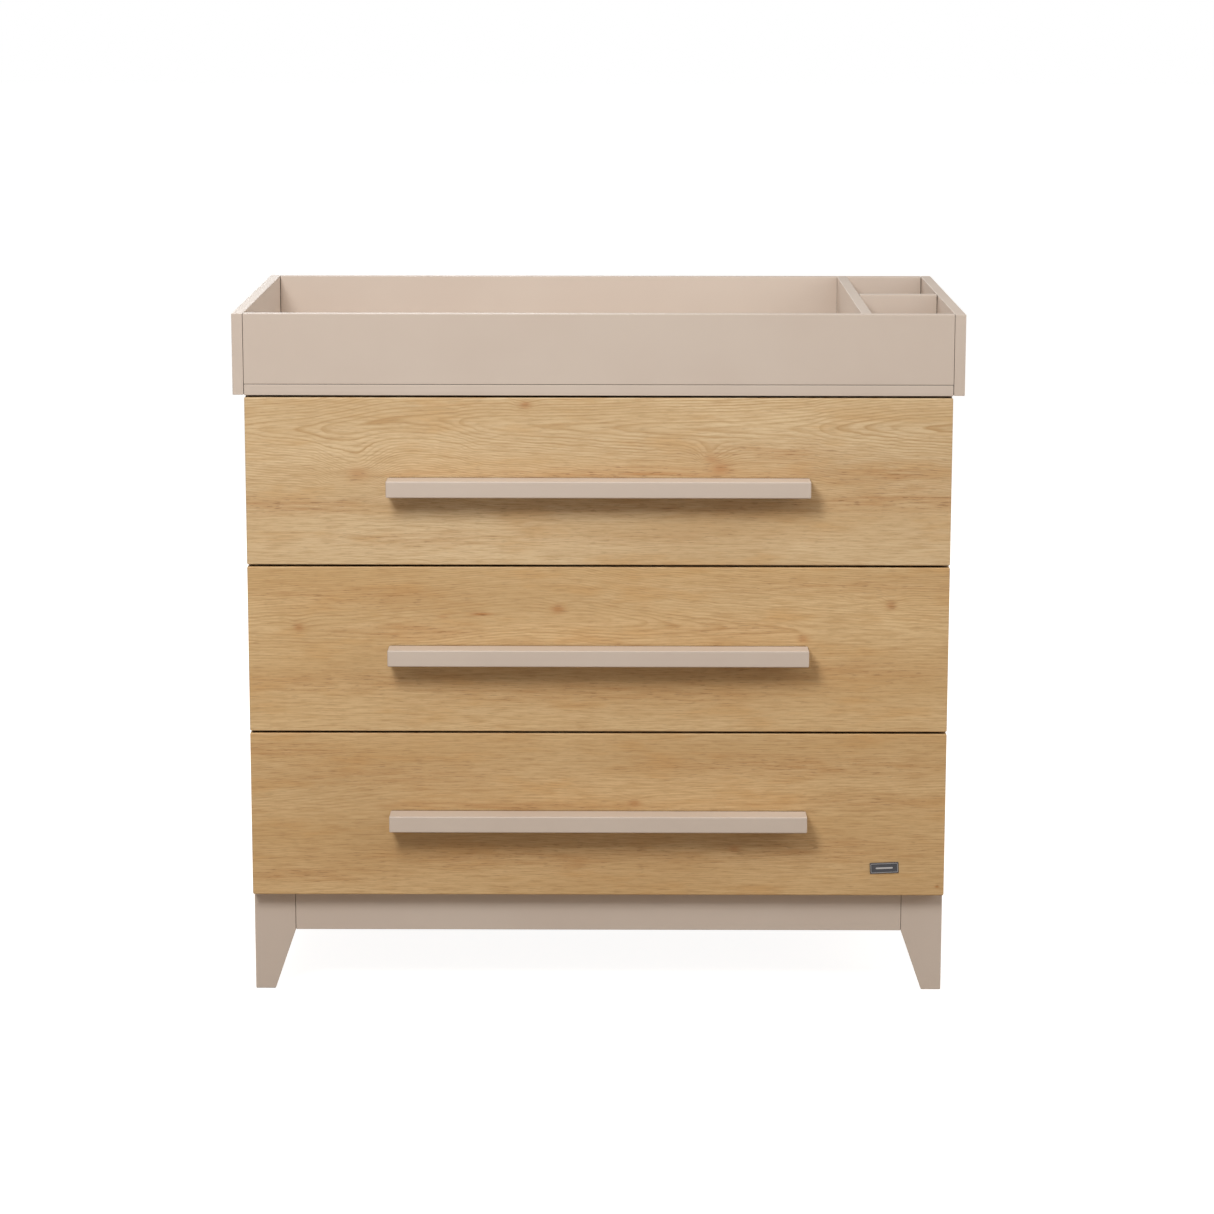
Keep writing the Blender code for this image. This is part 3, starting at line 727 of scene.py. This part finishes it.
HANDLE_SCREW_SHARE = 0.42  # of the handle's length, from its middle to an outer screw
CAM_INSET = 0.036  # from the upper and lower edge of the box side
CAM_BEHIND_FRONT = 0.034
SLIDE_SHEET = 0.0012
SLIDE_SCREW_SHARES = (0.08, 0.43, 0.86)  # of the slide's length, from its front
BUMPER_INSET = 0.020  # from the upper and lower edge of the drawer front
BRACKET_SCREW_DROPS = (0.009, 0.024)  # below the bracket's top
STRIP_HALF_WIDTH = 0.0085
STRIP_RISE = 0.0016
STRIP_ROUNDING = 0.0006
STRIP_MARGIN = 0.009  # from its ends to the edges of the back panel
BADGE_TILT = math.radians(2.5)
BADGE_RISE = 0.0002
BADGE_GAP = PLAY / 4
BADGE_OUTER = (0.0376, 0.0131, 0.0012)  # width, height and corner radius of the border line's outside
BADGE_INNER = (0.0366, 0.0121, 0.0008)  # and of its inside
BADGE_RULE = (0.0240, 0.0022, 0.0011)  # the plain rule
CORNER_STEPS = 4


def turned(profile):
    """A body turned about Z from (radius, height) points. A radius of 0 closes it on the axis."""
    builder = bmesh.new()
    rings = []
    for radius, height in profile:
        count = SCREW_SIDES if radius else 1
        angles = [2 * math.pi * i / SCREW_SIDES for i in range(count)]
        places = [(radius * math.cos(a), radius * math.sin(a), height) for a in angles]
        rings.append([builder.verts.new(place) for place in places])
    for lower, upper in zip(rings, rings[1:]):
        for i in range(SCREW_SIDES):
            corners = [lower[i % len(lower)], lower[(i + 1) % len(lower)]]
            corners += [upper[(i + 1) % len(upper)], upper[i % len(upper)]]
            builder.faces.new(list(dict.fromkeys(corners)))
    return to_mesh(builder)


def to_mesh(builder):
    """The builder's faces as a mesh: clean, closed and facing outwards."""
    bmesh.ops.remove_doubles(builder, verts=builder.verts, dist=SAME_PLACE)
    bmesh.ops.dissolve_degenerate(builder, edges=builder.edges, dist=SAME_PLACE)
    bmesh.ops.recalc_face_normals(builder, faces=builder.faces)
    mesh = bpy.data.meshes.new("shape")
    builder.to_mesh(mesh)
    builder.free()
    return mesh


def join_rings(builder, first, second):
    """A band of faces between two rings of as many points."""
    for i in range(len(first)):
        j = (i + 1) % len(first)
        builder.faces.new((first[i], first[j], second[j], second[i]))


def slab(length, width, top, bottom, taper):
    """A box from bottom to top, with its lower end drawn in by taper."""
    builder = bmesh.new()
    corners = ((-1, -1), (1, -1), (1, 1), (-1, 1))
    ends = []
    for z, scale in ((bottom, taper), (top, 1.0)):
        across, up = length / 2 * scale, width / 2 * scale
        ends.append([builder.verts.new((across * x, up * y, z)) for x, y in corners])
        builder.faces.new(ends[-1])
    join_rings(builder, *ends)
    return to_mesh(builder)


def cut_cross(mesh, length, width, depth):
    """The mesh with a cross recess in its top, as a driver needs."""
    top = max(v.co.z for v in mesh.vertices)
    body = bpy.data.objects.new("body", mesh)
    bpy.context.scene.collection.objects.link(body)
    cutters = []
    for turn in (0.0, math.pi / 2):
        cutter = bpy.data.objects.new("cutter", slab(length, width, top + depth, top - depth, RECESS_TAPER))
        cutter.rotation_euler.z = turn
        bpy.context.scene.collection.objects.link(cutter)
        cut = body.modifiers.new("cut", "BOOLEAN")
        cut.operation = "DIFFERENCE"
        cut.solver = "EXACT"
        cut.object = cutter
        cutters.append(cutter)
    bpy.context.view_layer.update()
    ready = body.evaluated_get(bpy.context.evaluated_depsgraph_get())
    builder = bmesh.new()
    builder.from_mesh(bpy.data.meshes.new_from_object(ready))
    for obj in (body, *cutters):
        bpy.data.objects.remove(obj)
    return to_mesh(builder)


def add_fittings(name, mesh, seats, body, material):
    """One piece made of a copy of the mesh on each seat, which is a place and the direction that it faces."""
    builder = bmesh.new()
    for place, facing in seats:
        copy = mesh.copy()
        turn = Vector(facing).to_track_quat("Z", "Y").to_matrix().to_4x4()
        copy.transform(Matrix.Translation(Vector(place) + PLAY * Vector(facing)) @ turn)
        builder.from_mesh(copy)
        bpy.data.meshes.remove(copy)
    piece_mesh = to_mesh(builder)
    piece_mesh.name = name
    return add_piece(name, piece_mesh, body, material)


def add_piece(name, mesh, body, material):
    piece = bpy.data.objects.new(name, mesh)
    bpy.context.scene.collection.objects.link(piece)
    for polygon in mesh.polygons:
        polygon.use_smooth = True
    split = piece.modifiers.new("split", "EDGE_SPLIT")
    split.split_angle = PIECE_EDGE_ANGLE
    dress(piece, material)
    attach(piece, body)
    return piece


def add_handle_screws(number, screw, washer, material):
    body = f"drawer_{number}"
    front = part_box(f"{body}_front")[1].y
    low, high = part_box(f"{body}_handle")
    across = HANDLE_SCREW_SHARE * (high.x - low.x)
    seats = [((x, front, (low.z + high.z) / 2), (0, 1, 0)) for x in (-across, 0.0, across)]
    add_fittings(f"{body}_handle_washers", washer, seats, body, material)
    add_fittings(f"{body}_handle_screws", screw, seats, body, material)


def add_box_fittings(number, screw, cam, steel):
    """Cams behind the drawer front, and screws through the box sides into its back."""
    body = f"drawer_{number}"
    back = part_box(f"{body}_back")
    cams, screws = [], []
    for word, side in SIDES:
        low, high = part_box(f"{body}_{word}_side")
        inner = side * min(abs(low.x), abs(high.x))
        outer = side * max(abs(low.x), abs(high.x))
        for z in (low.z + CAM_INSET, high.z - CAM_INSET):
            cams.append(((inner, low.y + CAM_BEHIND_FRONT, z), (-side, 0, 0)))
            screws.append(((outer, (back[0].y + back[1].y) / 2, z), (side, 0, 0)))
    add_fittings(f"{body}_cams", cam, cams, body, steel)
    add_fittings(f"{body}_box_screws", screw, screws, body, steel)


def add_slide_screws(number, screw, steel):
    """Screws in the channels of the inner slide members, which fix them to the drawer box."""
    body = f"drawer_{number}"
    seats = []
    for word, side in SIDES:
        low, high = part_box(f"slide_{number}_{word}_inner")
        web = side * (min(abs(low.x), abs(high.x)) + SLIDE_SHEET)
        length = high.y - low.y
        for share in SLIDE_SCREW_SHARES:
            seats.append(((web, low.y + share * length, (low.z + high.z) / 2), (side, 0, 0)))
    add_fittings(f"{body}_slide_screws", screw, seats, body, steel)


def add_bumpers(number, bumper, material):
    """Soft dots that the drawer front closes against the carcass sides with."""
    body = f"drawer_{number}"
    low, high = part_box(f"{body}_front")
    seats = []
    for word, _ in SIDES:
        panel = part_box(f"{word}_side_panel")
        x = (panel[0].x + panel[1].x) / 2
        heights = (low.z + BUMPER_INSET, high.z - BUMPER_INSET)
        seats += [((x, high.y, z), (0, 1, 0)) for z in heights]
    add_fittings(f"{body}_bumpers", bumper, seats, body, material)


def add_bracket_screws(screw, steel):
    seats = []
    for word, _ in SIDES:
        low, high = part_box(f"changer_{word}_bracket")
        for below_top in BRACKET_SCREW_DROPS:
            seats.append((((low.x + high.x) / 2, high.y, high.z - below_top), (0, 1, 0)))
    add_fittings("changer_bracket_screws", screw, seats, "changing_frame", steel)


def add_back_strip(material):
    """The plastic strip that joins the two halves of the hardboard back, seen as a low rounded rib."""
    low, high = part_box("back_panel")
    half = [(STRIP_HALF_WIDTH, 0.0), (STRIP_HALF_WIDTH, STRIP_RISE - STRIP_ROUNDING)]
    half.append((STRIP_HALF_WIDTH - STRIP_ROUNDING, STRIP_RISE))
    outline = half + [(-x, y) for x, y in reversed(half)]
    builder = bmesh.new()
    ends = []
    for z in (low.z + STRIP_MARGIN, high.z - STRIP_MARGIN):
        ends.append([builder.verts.new((x, high.y + PLAY + y, z)) for x, y in outline])
        builder.faces.new(ends[-1])
    join_rings(builder, *ends)
    add_piece("back_panel_strip", to_mesh(builder), "chest", material)


def rounded_rectangle(width, height, radius):
    points = []
    for quarter, (sx, sz) in enumerate(((1, 1), (-1, 1), (-1, -1), (1, -1))):
        for step in range(CORNER_STEPS + 1):
            angle = math.pi / 2 * (quarter + step / CORNER_STEPS)
            x = sx * (width / 2 - radius) + radius * math.cos(angle)
            z = sz * (height / 2 - radius) + radius * math.sin(angle)
            points.append((x, z))
    return points


def raised_ring(builder, size):
    """The upright wall of a rounded rectangle, as its front and its back ring of points."""
    outline = rounded_rectangle(*size)
    front, back = ([builder.verts.new((x, y, z)) for x, z in outline] for y in (-BADGE_RISE, 0.0))
    join_rings(builder, front, back)
    return front, back


def add_badge_relief(material):
    """A raised line round the badge and a plain rule across it. The badge carries no lettering."""
    low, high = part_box("drawer_3_badge")
    middle = (low + high) / 2
    builder = bmesh.new()
    for outer, inner in zip(raised_ring(builder, BADGE_OUTER), raised_ring(builder, BADGE_INNER)):
        join_rings(builder, outer, inner)
    for ring in raised_ring(builder, BADGE_RULE):
        builder.faces.new(ring)
    mesh = to_mesh(builder)
    place = Matrix.Translation((middle.x, low.y - BADGE_GAP, middle.z))
    mesh.transform(place @ Matrix.Rotation(-BADGE_TILT, 4, "Y"))
    add_piece("drawer_3_badge_relief", mesh, "drawer_3", material)


def add_small_pieces(looks):
    steel = looks["steel"]
    screw = cut_cross(turned(PAN_HEAD), *SCREW_RECESS)
    cam = cut_cross(turned(CAM_DISC), *CAM_RECESS)
    washer = turned(CUP_WASHER)
    bumper = turned(BUMPER)
    silicone = silicone_material()
    for number in DRAWERS:
        add_handle_screws(number, screw, washer, steel)
        add_box_fittings(number, screw, cam, steel)
        add_slide_screws(number, screw, steel)
        add_bumpers(number, bumper, silicone)
    add_bracket_screws(screw, steel)
    add_back_strip(strip_material())
    add_badge_relief(relief_material())


# ---------------------------------------------------------------- floor, light, camera


FLOOR_HALF_SIZE = 30.0
FLOOR_GAP = 0.0005  # under the feet
AIR_TINT = (1.0, 0.985, 0.965, 1.0)
AIR_LIGHT = 0.21

FRONT_AIM = (0.0, -0.25, 0.55)
BEHIND = ((-0.9, 3.2, 2.2), (0.0, 0.2, 0.5), 2.0, 1.4)
SOFTBOXES = (  # name, place, aim, width, height, watts
    ("key", (-1.05, -2.50, 2.70), FRONT_AIM, 1.0, 1.0, 61.5),
    ("high", (-0.30, -1.80, 2.70), (0.0, -0.25, 0.7), 1.2, 0.6, 7.5),
    ("left", (-3.0, -1.4, 1.8), FRONT_AIM, 1.6, 1.6, 4.0),
    ("right", (3.0, -1.4, 1.8), FRONT_AIM, 1.6, 1.6, 30.0),
    ("top_right", (1.3, -0.4, 2.6), (0.0, 0.1, 0.9), 1.2, 1.2, 13.5),
    ("rim", *BEHIND, 27.0),
    ("back", *BEHIND, 43.0),
)
NOT_MIRRORED = ("back",)  # their reflection would bleach the rims of the changing frame

CAMERA_FROM_FRONT = 4.4834  # in front of the drawer faces
CAMERA_RIGHT = 0.0252
CAMERA_HEIGHT = 1.4595
CAMERA_LENS = 98.18
CAMERA_SENSOR = 36.0
CAMERA_YAW, CAMERA_PITCH, CAMERA_ROLL = (math.radians(a) for a in (0.172, 10.14, 0.073))
CAMERA_SHIFT = -0.06
CAMERA_REACH = 100.0


def add_floor():
    builder = bmesh.new()
    bmesh.ops.create_grid(builder, x_segments=1, y_segments=1, size=FLOOR_HALF_SIZE)
    mesh = bpy.data.meshes.new("floor")
    builder.to_mesh(mesh)
    builder.free()
    floor = bpy.data.objects.new("floor", mesh)
    bpy.context.scene.collection.objects.link(floor)
    floor.location.z = CAD_BOX[0].z - FLOOR_GAP
    dress(floor, floor_material())


def add_world():
    """White to the camera, and a dimmer even light on the object."""
    world = bpy.data.worlds.new("studio")
    bpy.context.scene.world = world
    world.use_nodes = True
    tree = world.node_tree
    tree.nodes.clear()
    backgrounds = []
    for tint, strength in ((AIR_TINT, AIR_LIGHT), (WHITE, 1.0)):
        background = tree.nodes.new("ShaderNodeBackground")
        background.inputs["Color"].default_value = tint
        background.inputs["Strength"].default_value = strength
        backgrounds.append(background)
    path = tree.nodes.new("ShaderNodeLightPath")
    choice = tree.nodes.new("ShaderNodeMixShader")
    output = tree.nodes.new("ShaderNodeOutputWorld")
    tree.links.new(path.outputs["Is Camera Ray"], choice.inputs[0])
    for socket, background in zip(choice.inputs[1:], backgrounds):
        tree.links.new(background.outputs[0], socket)
    tree.links.new(choice.outputs[0], output.inputs[0])


def add_softbox(name, place, aim, width, height, watts):
    light = bpy.data.lights.new(name, "AREA")
    light.shape = "RECTANGLE"
    light.size = width
    light.size_y = height
    light.energy = watts
    softbox = bpy.data.objects.new(name, light)
    bpy.context.scene.collection.objects.link(softbox)
    softbox.location = place
    softbox.rotation_euler = (Vector(aim) - Vector(place)).to_track_quat("-Z", "Y").to_euler()
    softbox.visible_glossy = name not in NOT_MIRRORED


def add_camera():
    data = bpy.data.cameras.new("camera")
    data.lens = CAMERA_LENS
    data.sensor_width = CAMERA_SENSOR
    data.shift_y = CAMERA_SHIFT
    data.clip_end = CAMERA_REACH
    camera = bpy.data.objects.new("camera", data)
    bpy.context.scene.collection.objects.link(camera)
    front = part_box("drawer_1_front")[0].y
    turn = Matrix.Rotation(CAMERA_YAW, 4, "Z") @ Matrix.Rotation(math.pi / 2 - CAMERA_PITCH, 4, "X")
    turn = turn @ Matrix.Rotation(CAMERA_ROLL, 4, "Z")
    place = Matrix.Translation((CAMERA_RIGHT, front - CAMERA_FROM_FRONT, CAMERA_HEIGHT))
    camera.matrix_world = place @ turn
    bpy.context.scene.camera = camera


def main():
    add_small_pieces(dress_nodes())
    add_floor()
    add_world()
    for softbox in SOFTBOXES:
        add_softbox(*softbox)
    add_camera()
    bpy.context.scene.view_settings.view_transform = "Standard"


main()
